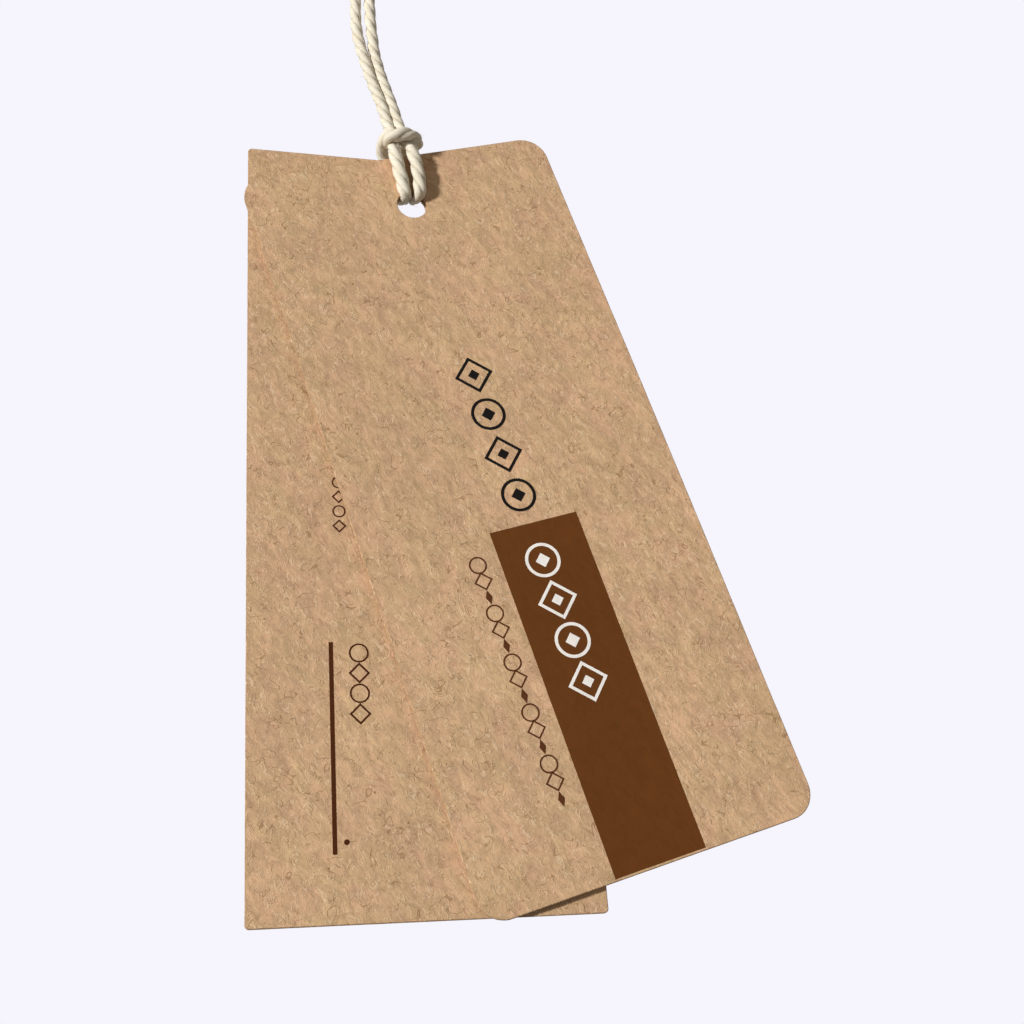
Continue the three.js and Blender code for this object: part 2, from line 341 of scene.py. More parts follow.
def yarn_group() -> bpy.types.NodeTree:
    """Build the look of spun cotton on a cord's own map: fine hairs along each ply, with painted shade in the
    grooves between plies.

    Returns:
        The shader node group.
    """
    nodes, given, out = new_group("spun_yarn", "ShaderNodeTree", [
        Port("Light", COLOUR), Port("Dark", COLOUR), Port("Groove", COLOUR),
        Port("Color", COLOUR, is_input=False), Port("Height", FLOAT, is_input=False),
    ])
    hair_slant, hair_stretch, hair_count, groove_shade_share = 0.55, 0.5, 4.0, 0.5
    along_across = nodes.add("ShaderNodeUVMap", uv_map=CORD_MAP).outputs["UV"]
    along, across, _ = nodes.add("ShaderNodeSeparateXYZ", {0: along_across}).outputs
    slanted = nodes.plus(across, nodes.times(along, hair_slant))
    hairs = nodes.joined(nodes.times(along, hair_stretch), nodes.times(slanted, hair_count))
    hair = nodes.noise(hairs, 1.6, detail=4.0, roughness=0.7, distortion=0.25)
    soft = nodes.noise(nodes.place(), 0.5 / MM)
    local = nodes.maths("SUBTRACT", nodes.maths("MODULO", across, 2.0), 1.0)
    uneven = nodes.ramp(nodes.noise(hairs, 0.35), 0.35, 0.65, 0.35, 1.0)
    # Painted shade: the colour darkens towards the grooves between plies, where shade falls.
    groove = nodes.times(nodes.ramp(nodes.maths("ABSOLUTE", local), 0.62, 1.0), uneven)
    colour = nodes.mix(nodes.ramp(hair, 0.3, 0.7), given["Dark"], given["Light"])
    colour = nodes.mix(nodes.ramp(soft, 0.35, 0.7, 0.0, 0.4), colour, given["Dark"])
    with_groove_shade = nodes.mix(nodes.times(groove, groove_shade_share), colour, given["Groove"])
    nodes.fill(out, {"Color": with_groove_shade, "Height": hair})
    return nodes.tree


@dataclass(frozen=True)
class Palette:
    """The shader node groups that the finishes share."""

    kraft: bpy.types.NodeTree
    yarn: bpy.types.NodeTree


def print_row_group() -> bpy.types.NodeTree:
    """Build the tree that repeats one printed motif along a card.

    Returns:
        The geometry node group.
    """
    nodes, given, out = new_group("print_row", "GeometryNodeTree", [
        Port("Geometry", "NodeSocketGeometry"), Port("Count", "NodeSocketInt", 2),
        Port("Step", "NodeSocketVector"), Port("Ink", "NodeSocketMaterial"),
        Port("Geometry", "NodeSocketGeometry", is_input=False),
    ])
    line = nodes.add("GeometryNodeMeshLine", {"Count": given["Count"], "Offset": given["Step"]})
    motifs = nodes.add("GeometryNodeInstanceOnPoints", {"Points": line.outputs["Mesh"],
                                                         "Instance": given["Geometry"]})
    nodes.fill(out, {"Geometry": nodes.realized(motifs.outputs["Instances"], given["Ink"])})
    return nodes.tree


def loose_hair_group() -> bpy.types.NodeTree:
    """Build the tree that strews short bent hairs over a skin.

    Returns:
        The geometry node group.
    """
    nodes, given, out = new_group("loose_hairs", "GeometryNodeTree", [
        Port("Geometry", "NodeSocketGeometry"), Port("Density", FLOAT), Port("Length", FLOAT),
        Port("Width", FLOAT), Port("Lift", FLOAT, 0.5), Port("Seed", "NodeSocketInt", 0),
        Port("Finish", "NodeSocketMaterial"), Port("Geometry", "NodeSocketGeometry", is_input=False),
    ])
    seed, lift = given["Seed"], given["Lift"]
    middle, end = nodes.joined(0.35, 0.08, nodes.times(lift, 0.7)), nodes.joined(0.95, -0.12, lift)
    strewn = nodes.add("GeometryNodeDistributePointsOnFaces", {
        "Mesh": given["Geometry"], "Density": given["Density"], "Seed": seed})
    bent = nodes.add("GeometryNodeCurveQuadraticBezier", {
        "Resolution": 4, "Start": (0.0, 0.0, -0.03), "Middle": middle, "End": end})
    around = nodes.add("GeometryNodeCurvePrimitiveCircle", {
        "Resolution": 3, "Radius": nodes.maths("DIVIDE", given["Width"], given["Length"])})
    hair = nodes.add("GeometryNodeCurveToMesh", {"Curve": bent.outputs["Curve"],
                                                 "Profile Curve": around.outputs["Curve"], "Fill Caps": True})
    spin = nodes.add("FunctionNodeRandomValue", {"Max": 2 * math.pi, "Seed": seed}, data_type="FLOAT")
    turned = nodes.add("FunctionNodeRotateRotation", {
        "Rotation": strewn.outputs["Rotation"], "Rotate By": nodes.joined(z=spin.outputs[1])},
                       rotation_space="LOCAL")
    size = nodes.add("FunctionNodeRandomValue", {"Min": 0.5, "Max": 1.0, "Seed": seed, "ID": 7},
                     data_type="FLOAT")
    hairs = nodes.add("GeometryNodeInstanceOnPoints", {
        "Points": strewn.outputs["Points"], "Instance": hair.outputs["Mesh"],
        "Rotation": turned.outputs["Rotation"], "Scale": nodes.times(size.outputs[1], given["Length"])})
    nodes.fill(out, {"Geometry": nodes.realized(hairs.outputs["Instances"], given["Finish"])})
    return nodes.tree


def in_scene(name: str, data: bpy.types.ID) -> bpy.types.Object:
    """Put a mesh, a lamp or a camera in the scene, at the origin.

    Args:
        name: The object's name.
        data: What it shows.

    Returns:
        The new object.
    """
    made = bpy.data.objects.new(name, data)
    bpy.context.scene.collection.objects.link(made)
    return made


def new_object(name: str, mesh: bpy.types.Mesh, materials: Sequence[Finish]) -> bpy.types.Object:
    """Put a piece in the scene with its materials.

    Args:
        name: The piece's name.
        mesh: Its mesh, in place.
        materials: Its materials, in the order of their numbers.

    Returns:
        The new object.
    """
    for material in materials:
        mesh.materials.append(material)
    return in_scene(name, mesh)


def report(piece: bpy.types.Object) -> None:
    """Log a finished piece's name, size and number of triangles.

    Args:
        piece: The piece.
    """
    piece.data.calc_loop_triangles()
    size = ", ".join(f"{side / MM:.1f}" for side in piece.dimensions)
    LOG.info("%s: %s mm, %d triangles", piece.name, size, len(piece.data.loop_triangles))


def grown(name: str, base: bpy.types.Mesh, tree: bpy.types.NodeTree, inputs: dict) -> bpy.types.Mesh:
    """Run a geometry node tree on a mesh.

    Args:
        name: The new mesh's name.
        base: The mesh that goes in.
        tree: The tree.
        inputs: The tree's values by the names of its inputs.

    Returns:
        The plain mesh that comes out, with its faces turned outwards.
    """
    carrier = in_scene(name + "_carrier", base)
    modifier = carrier.modifiers.new(name, "NODES")
    modifier.node_group = tree
    identifiers = {item.name: item.identifier for item in tree.interface.items_tree if item.in_out == "INPUT"}
    for label, value in inputs.items():
        modifier[identifiers[label]] = value
    evaluated = carrier.evaluated_get(bpy.context.evaluated_depsgraph_get())
    made = bpy.data.meshes.new_from_object(evaluated)
    bpy.data.objects.remove(carrier)
    made.name = name
    shell = bmesh.new()
    shell.from_mesh(made)
    bmesh.ops.recalc_face_normals(shell, faces=shell.faces)
    shell.to_mesh(made)
    shell.free()
    return made


def blank_material(name: str) -> tuple[Finish, Nodes, bpy.types.Node]:
    """Start a material with only its Principled shader.

    Args:
        name: The material's name.

    Returns:
        The material, a maker for its nodes, and its Principled node.
    """
    material = bpy.data.materials.new(name)
    material.use_nodes = True
    nodes = Nodes(material.node_tree)
    return material, nodes, material.node_tree.nodes["Principled BSDF"]


@dataclass(frozen=True)
class KraftFinish:
    """Uncoated kraft board, or its die-cut edge."""

    name: str
    warm: Colour = srgb(211, 171, 135)
    cool: Colour = srgb(207, 173, 132)
    fibre: Colour = srgb(138, 100, 64)
    pale: Colour = srgb(232, 203, 168)
    fibre_share: float = 0.55
    relief: float = 0.16 * MM
    seed: float = 0.0
    gloss: float = 0.15

    def material(self, palette: Palette) -> Finish:
        """Build the material.

        Args:
            palette: The shared shader groups.

        Returns:
            The material.
        """
        material, nodes, shader = blank_material(self.name)
        inputs = {"Warm": self.warm, "Cool": self.cool, "Fibre": self.fibre, "Pale": self.pale,
                  "Fibre Share": self.fibre_share, "Seed": self.seed}
        stock = nodes.add("ShaderNodeGroup", inputs, node_tree=palette.kraft).outputs
        nodes.fill(shader, {"Base Color": stock["Color"], "Roughness": stock["Roughness"],
                            "Specular IOR Level": self.gloss,
                            "Normal": nodes.bump(stock["Height"], self.relief)})
        return material


@dataclass(frozen=True)
class InkFinish:
    """Ink printed on kraft board, with the board's grain showing through."""

    name: str
    ink: Colour
    show_through: float = 0.12
    relief: float = 0.035 * MM
    cover: float = 0.55
    show_fibre: Colour | None = None
    fibre_share: float = 0.5
    roughness: float = 0.75
    gloss: float = 0.1

    def material(self, palette: Palette) -> Finish:
        """Build the material.

        Args:
            palette: The shared shader groups.

        Returns:
            The material.
        """
        material, nodes, shader = blank_material(self.name)
        light = tuple(min(1.0, channel * (1 + 3 * self.show_through)) for channel in self.ink)
        pale = tuple(channel + self.show_through * (1 - channel) / 2 for channel in self.ink)
        inputs = {"Warm": self.ink, "Cool": light, "Fibre": self.show_fibre or self.ink, "Pale": pale,
                  "Fibre Share": self.fibre_share}
        stock = nodes.add("ShaderNodeGroup", inputs, node_tree=palette.kraft).outputs
        nodes.fill(shader, {"Base Color": nodes.mix(self.cover, stock["Color"], self.ink),
                            "Roughness": self.roughness, "Specular IOR Level": self.gloss,
                            "Normal": nodes.bump(stock["Height"], self.relief)})
        return material


@dataclass(frozen=True)
class CottonFinish:
    """Twisted cotton, slightly waxed."""

    name: str
    light: Colour = srgb(247, 241, 226)
    dark: Colour = srgb(216, 206, 181)
    # The colour of the painted shade in the grooves between plies.
    groove: Colour = srgb(158, 140, 102)
    relief: float = 0.09 * MM
    roughness: float = 0.72
    gloss: float = 0.25
    sheen: float = 0.15

    def material(self, palette: Palette) -> Finish:
        """Build the material.

        Args:
            palette: The shared shader groups.

        Returns:
            The material.
        """
        material, nodes, shader = blank_material(self.name)
        inputs = {"Light": self.light, "Dark": self.dark, "Groove": self.groove}
        yarn = nodes.add("ShaderNodeGroup", inputs, node_tree=palette.yarn).outputs
        nodes.fill(shader, {"Base Color": yarn["Color"], "Roughness": self.roughness,
                            "Specular IOR Level": self.gloss, "Sheen Weight": self.sheen,
                            "Normal": nodes.bump(yarn["Height"], self.relief)})
        return material


@dataclass(frozen=True)
class HairFinish:
    """Loose cotton hairs."""

    name: str
    colour: Colour = srgb(247, 242, 228)
    darkening: float = 0.8
    roughness: float = 0.8

    def material(self) -> Finish:
        """Build the material.

        Returns:
            The material.
        """
        material, nodes, shader = blank_material(self.name)
        share = nodes.ramp(nodes.noise(nodes.scaled(nodes.place(), 1 / MM), 0.8), 0.3, 0.7)
        darker = tuple(self.darkening * channel for channel in self.colour)
        nodes.fill(shader, {"Base Color": nodes.mix(share, darker, self.colour), "Roughness": self.roughness})
        return material


@dataclass(frozen=True)
class PhotoCamera:
    """Where the picture was taken from, in metres, and its lens in millimetres."""

    place: tuple[float, float, float] = (-0.04379, -0.14998, -0.16186)
    forward: tuple[float, float, float] = (0.29084, 0.89108, 0.34840)
    up: tuple[float, float, float] = (0.10025, -0.39052, 0.91512)
    lens: float = 47.783
    sensor: float = 36.0
    near: float = 5 * MM
    far: float = 50.0

    def aim(self) -> None:
        """Make the scene's camera."""
        data = bpy.data.cameras.new("camera")
        data.lens = self.lens
        data.sensor_width = self.sensor
        data.clip_start = self.near
        data.clip_end = self.far
        camera = in_scene("camera", data)
        forward = Vector(self.forward).normalized()
        right = forward.cross(Vector(self.up)).normalized()
        turned = Matrix((right, right.cross(forward), -forward)).transposed().to_4x4()
        camera.matrix_world = Matrix.Translation(self.place) @ turned
        bpy.context.scene.camera = camera


@dataclass(frozen=True)
class Studio:
    """A pale floor far below the hanging tag, a pale surround and two lamps."""

    backdrop: Colour = srgb(246, 244, 252)
    ambient: Colour = (0.26, 0.235, 0.21)
    bounce: Colour = (0.25, 0.25, 0.25)
    floor_drop: float = 0.42
    floor_radius: float = 1.2
    floor_sides: int = 64
    floor_glow: float = 0.22
    floor_shade: float = 0.985
    floor_roughness: float = 0.9
    floor_gloss: float = 0.1
    key_towards: tuple[float, float, float] = (1.5, 1.0, -0.36)
    key_power: float = 3.75
    key_angle: float = math.radians(7)
    back_towards: tuple[float, float, float] = (-0.8, -1.0, -0.7)
    back_power: float = 1.6
    back_angle: float = math.radians(40)

    def surround(self) -> None:
        """Make the world pale where it is seen, and plain ambient light elsewhere."""
        world = bpy.data.worlds.new("surround")
        world.use_nodes = True
        bpy.context.scene.world = world
        nodes = Nodes(world.node_tree)
        world.node_tree.nodes.clear()
        colour = nodes.mix(nodes.pale_rays(), self.ambient, self.backdrop)
        background = nodes.add("ShaderNodeBackground", {"Color": colour, "Strength": 1.0})
        nodes.add("ShaderNodeOutputWorld", {"Surface": background.outputs[0]})

    def floor(self) -> None:
        """Make the floor."""
        reach, sides = self.floor_radius, self.floor_sides
        rim = [2 * math.pi * step / sides for step in range(sides)]
        corners = [(reach * math.cos(a), reach * math.sin(a), -self.floor_drop) for a in rim]
        mesh = bpy.data.meshes.new("floor")
        mesh.from_pydata(corners, [], [tuple(range(sides))])
        material, nodes, shader = blank_material("pale_floor")
        soft = nodes.ramp(nodes.noise(nodes.place(), 3.0), 0.3, 0.7)
        paler = tuple(self.floor_shade * channel for channel in self.backdrop)
        seen = nodes.pale_rays()
        nodes.fill(shader, {
            "Base Color": nodes.mix(seen, self.bounce, nodes.mix(soft, paler, self.backdrop)),
            "Roughness": self.floor_roughness,
            "Specular IOR Level": self.floor_gloss,
            "Emission Color": self.backdrop,
            "Emission Strength": nodes.times(seen, self.floor_glow),
        })
        floor = new_object("floor", mesh, [material])

    def sun(self, name: str, towards: Sequence[float], power: float, angle: float) -> None:
        """Make one distant lamp.

        Args:
            name: The lamp's name.
            towards: The direction its light travels.
            power: Its strength.
            angle: Its width as seen from the tag, in radians.
        """
        data = bpy.data.lights.new(name, "SUN")
        data.energy = power
        data.angle = angle
        lamp = in_scene(name, data)
        lamp.rotation_mode = "QUATERNION"
        lamp.rotation_quaternion = Vector(towards).to_track_quat("-Z", "Y")

    def build(self) -> None:
        """Make the surround, the floor and the lamps."""
        self.surround()
        self.floor()
        self.sun("key", self.key_towards, self.key_power, self.key_angle)
        self.sun("back", self.back_towards, self.back_power, self.back_angle)


def wall(upper: Sequence[int], lower: Sequence[int]) -> list[tuple[int, ...]]:
    """Join two closed rows of points, one quad to each pair of neighbours."""
    return list(zip(upper, lower, [*lower[1:], lower[0]], [*upper[1:], upper[0]]))


def two_sided(triangles: Sequence[Sequence[int]], count: int) -> list[tuple[int, ...]]:
    """Give a sheet's front faces and then its back ones, whose points are numbered on by the count."""
    back = [tuple(count + corner for corner in triangle[::-1]) for triangle in triangles]
    return [tuple(triangle) for triangle in triangles] + back


def sharpen_between(mesh: bpy.types.Mesh, kinds: Sequence[int]) -> None:
    """Mark the edges between faces of different kinds sharp.

    Args:
        mesh: The mesh.
        kinds: Each face's kind.
    """
    first, sharp = {}, set()
    for face, kind in zip(mesh.polygons, kinds):
        for key in face.edge_keys:
            if first.setdefault(key, kind) != kind:
                sharp.add(key)
    for edge in mesh.edges:
        edge.use_edge_sharp = tuple(sorted(edge.vertices)) in sharp


def centripetal(points: np.ndarray, steps: int) -> np.ndarray:
    """Pass a smooth centripetal Catmull-Rom curve through points.

    Args:
        points: The points to pass through.
        steps: How many steps each span between two points has.

    Returns:
        The curve's points. Point number steps * n is given point n.
    """
    first = 2 * points[0] - points[1]
    last = 2 * points[-1] - points[-2]
    padded = np.vstack([first, points, last])
    shares = np.arange(steps)[:, None] / steps
    curve = []
    for before, start, end, after in zip(padded, padded[1:], padded[2:], padded[3:]):
        gaps = [np.linalg.norm(b - a) ** 0.5 for a, b in ((before, start), (start, end), (end, after))]
        leaving = (start - before) / gaps[0] - (end - before) / (gaps[0] + gaps[1]) + (end - start) / gaps[1]
        arriving = (end - start) / gaps[1] - (after - start) / (gaps[1] + gaps[2]) + (after - end) / gaps[2]
        leaving, arriving = leaving * gaps[1], arriving * gaps[1]
        square = 3 * (end - start) - 2 * leaving - arriving
        cube = 2 * (start - end) + leaving + arriving
        curve.append(start + shares * (leaving + shares * (square + shares * cube)))
    return np.vstack([*curve, points[-1]])


def smoothstep(share: np.ndarray | float) -> np.ndarray | float:
    """Ease a share that is cut off at 0 and 1."""
    held = np.clip(share, 0, 1)
    return held * held * (3 - 2 * held)


@dataclass(frozen=True)
class CordRoute:
    """The route of the one cord through hitch, strands and knot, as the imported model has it.

    The bar's drop, the knot's reach and the sizes of its wrap are in cord diameters, and the knot's press is a
    share of the cord's radius. Other lengths are in metres.
    """

    diameter: float = 1.6 * MM
    clearance: float = 0.3 * MM
    strand_gap: float = 0.18 * MM
    board: float = 0.5 * MM
    card_gap: float = 0.3 * MM
    hole_drop: float = 7.8 * MM
    fan_limit: float = math.radians(18)
    bight_play: float = 0.05 * MM
    left_shoulder: float = -0.7 * MM
    right_shoulder: float = 0.2 * MM
    bar_rise: float = 0.25 * MM
    bar_drop: float = 0.65
    stub_length: float = 3.2 * MM
    knot_reach: float = 3.1
    knot_press: float = 0.85
    hole_height: float = 1.05 * MM
    hole_lip: float = 0.12 * MM
    ring_shift: float = -0.12 * MM
    bar_out: float = 0.85 * MM
    bar_tuck: float = 0.15 * MM
    bar_tilt: float = 0.1 * MM
    wrap_shift: float = 0.25
    wrap_width: float = 1.9
    wrap_depth: float = 1.72
    wrap_rise: float = 1.15
    wrap_lead: float = math.radians(6)
    wrap_points: int = 13

    @property
    def radius(self) -> float:
        """The cord's radius."""
        return self.diameter / 2

    @property
    def face(self) -> float:
        """How far each card's outer face is from the middle between them."""
        return self.card_gap / 2 + self.board

    @property
    def leg_depth(self) -> float:
        """How far the legs run in front of the middle between the cards."""
        return self.face + self.clearance + self.radius

    @property
    def pair_spread(self) -> float:
        """How far two strands side by side stand either side of their middle."""
        return self.radius + self.strand_gap / 2

    @property
    def bight_top(self) -> float:
        """The height of the hitch's bight above the hole's centre."""
        reach = (self.diameter + 2 * self.radius + self.bight_play) * math.sin(self.fan_limit)
        return (self.hole_drop + reach) / math.cos(self.fan_limit) + self.clearance + self.radius

    @property
    def stub_top(self) -> float:
        """The height above the hole's centre where the hitch ends and the free strands begin."""
        return self.bight_top + self.stub_length

    @property
    def bar_height(self) -> float:
        """The height above the hole's centre where the bar crosses the legs."""
        return self.bight_top - self.bar_drop * self.diameter

    @property
    def under(self) -> float:
        """How far forward the legs run under the bar."""
        return self.leg_depth - self.clearance

    @property
    def outer(self) -> float:
        """How far forward the bar runs over the legs."""
        return self.under + self.diameter + self.strand_gap

    def leg(self, side: Side) -> np.ndarray:
        """Give one leg of the hitch, from its free strand down through the hole and round to the bar.

        Args:
            side: Which of the two legs.

        Returns:
            Its points, from the top of the hitch to short of the bar's middle.
        """
        depth, lip = self.leg_depth, self.face + self.hole_lip
        hole, up = self.hole_height, self.bar_height - self.hole_height
        stations = [
            (-0.35 * MM, 0.72 * MM, -0.3 * depth, self.stub_top),
            (-0.31 * MM, 0.74 * MM, -0.52 * depth, self.stub_top - 0.5 * self.stub_length),
            (-0.22 * MM, 0.78 * MM, -0.74 * depth, self.bight_top - 0.1 * MM),
            (-0.12 * MM, 0.98 * MM, -self.under, self.bar_height),
            (-0.04 * MM, 1.2 * MM, -depth, hole + 0.87 * up),
            (0.11 * MM, 1.27 * MM, -depth, hole + 0.62 * up),
            (0.19 * MM, 1.24 * MM, -0.95 * depth, hole + 0.39 * up),
            (0.2 * MM, 1.13 * MM, -0.84 * depth, hole + 0.18 * up),
            (0.17 * MM, 0.98 * MM, -0.7 * depth, hole + 0.05 * up),
            (0.15 * MM, 0.86 * MM, -lip, hole),
            (0.12 * MM, 0.77 * MM, 0.0, hole + 0.28 * MM),
            (0.1 * MM, 0.74 * MM, lip, hole + 0.57 * MM),
            (0.05 * MM, 0.8 * MM, 0.7 * depth, hole + 1.1 * MM),
            (0.0, 0.93 * MM, 0.93 * depth, hole + 1.8 * MM),
            (-0.05 * MM, 1.15 * MM, depth, hole + 0.45 * up),
        ]
        top = self.bight_top + (self.right_shoulder if side is Side.RIGHT else self.left_shoulder)
        turn = {
            Side.RIGHT: [(1.02, 1.0, -2.9), (0.92, 0.98, -2.0), (0.9, 0.62, -1.15), (1.3, 0.22, -0.75),
                         (1.9, 0.0, -0.68), (2.38, -0.3, -0.72), (2.46, -0.7, -0.82), (2.12, -1.1, -0.88),
                         (1.52, -1.4, -0.72)],
            Side.LEFT: [(1.2, 1.0, -2.2), (1.42, 1.0, -1.3), (1.78, 0.8, -0.5), (2.08, 0.3, -0.05),
                        (2.2, -0.35, 0.05), (2.15, -1.0, -0.05), (1.65, -1.6, -0.08)],
        }
        for out, back, rise in turn[side]:
            stations.append((self.ring_shift, out * MM, back * depth, top + rise * MM))
        tilt = self.bar_tilt * side.value
        front = self.bar_height + self.bar_rise + tilt
        stations.append((self.ring_shift, self.bar_out, self.bar_tuck + tilt - self.outer, front))
        return np.array([(x + side.value * out, y, z) for x, out, y, z in stations]) + HOLE

    def bar_middle(self) -> np.ndarray:
        """Give the point in the middle of the bar, where the two legs meet."""
        return HOLE + np.array((self.ring_shift, -self.outer, self.bar_height + self.bar_rise))

    def strand(self, side: Side) -> np.ndarray:
        """Give one free strand's points between hitch and knot, at equal rises.

        Args:
            side: Which of the two strands.

        Returns:
            Its points, from the hitch up.
        """
        stations = [
            (0.06, -0.17, -0.42), (-0.24, -0.15, -0.28), (-0.56, -0.13, -0.14), (-0.75, -0.11, -0.05),
            (-0.9, -0.05, 0.0), (-0.89, 0.11, 0.0), (-0.77, 0.16, 0.0), (-0.5, 0.15, 0.0),
            (-0.17, 0.13, 0.0), (0.04, 0.26, 0.0), (0.12, 0.49, 0.0), (0.12, 0.66, 0.0),
            (0.08, 0.63, 0.0), (0.04, 0.39, 0.0), (0.01, 0.13, 0.0),
        ]
        top = -self.knot_reach * self.diameter - self.clearance
        bottom = HOLE[2] + self.stub_top + self.clearance
        rise = (top - bottom) / (len(stations) + 1)
        points = []
        for index, (middle, opening, depth) in enumerate(stations):
            x = middle * MM + side.value * (self.pair_spread + opening * MM)
            points.append((x, depth * MM, bottom + (index + 1) * rise))
        return np.array(points)

    def pair_point(self, x: float, y: float, z: float, turn: float, side: Side) -> tuple[float, float, float]:
        """Place one strand of the knot's pair.

        Args:
            x: The pair's middle, in cord diameters.
            y: The same, front to back.
            z: The same, upwards.
            turn: How the pair lies, from side by side at 0 degrees to one above the other at 90.
            side: Which of the two strands.

        Returns:
            The strand's point.
        """
        angle = math.radians(turn)
        out = self.knot_press * self.radius * side.value
        size = self.diameter
        return (x * size + out * math.cos(angle), y * size, z * size - out * math.sin(angle))

    def knot_entry(self, side: Side) -> list[tuple[float, float, float]]:
        """Give the way into the knot, up the front of its core and over.

        Args:
            side: Which of the two strands.

        Returns:
            Its points.
        """
        stations = [
            (0, -0.02, -self.knot_reach, 0), (0, -0.28, -2.55, 0), (0, -0.46, -1.85, 0), (0, -0.48, -1.1, 0),
            (0, -0.48, -0.35, 0), (0, -0.48, 0.3, 0), (0.1, -0.52, 0.92, 12), (0.48, -0.64, 1.42, 40),
            (1.08, -0.66, 1.62, 68), (1.72, -0.46, 1.44, 84),
        ]
        return [self.pair_point(*station, side) for station in stations]

    def knot(self, side: Side) -> np.ndarray:
        """Give one strand's way through the knot and out into its tail.

        Args:
            side: Which of the two strands.

        Returns:
            Its points, from the knot's foot to the tail's end.
        """
        turn = []
        for index in range(self.wrap_points):
            share = index / (self.wrap_points - 1)
            angle = self.wrap_lead + 2 * (math.pi - self.wrap_lead) * share
            x = self.wrap_shift + self.wrap_width * math.cos(angle)
            y, z = self.wrap_depth * math.sin(angle), self.wrap_rise * (1 - 2 * share)
            turn.append(self.pair_point(x, y, z, 90, side))
        other = Side.LEFT if side is Side.RIGHT else Side.RIGHT
        leaving = [(x, -y, -z) for x, y, z in self.knot_entry(other)][::-1]
        tails = {
            Side.LEFT: [(0.62, 0.1, 3.9), (0.86, 0.16, 4.7), (1.24, 0.34, 5.6), (1.76, 0.58, 6.7)],
            Side.RIGHT: [(-0.64, 0.0, 3.9), (-0.92, -0.06, 4.7), (-1.38, -0.16, 5.5), (-2.02, -0.22, 6.5)],
        }
        tail = [tuple(self.diameter * part for part in point) for point in tails[side]]
        return np.array([*self.knot_entry(side), *turn, *leaving, *tail])


@dataclass(frozen=True)
class Stretch:
    """One stretch of the cord, by the numbers of its first and last ring."""

    first: int
    last: int


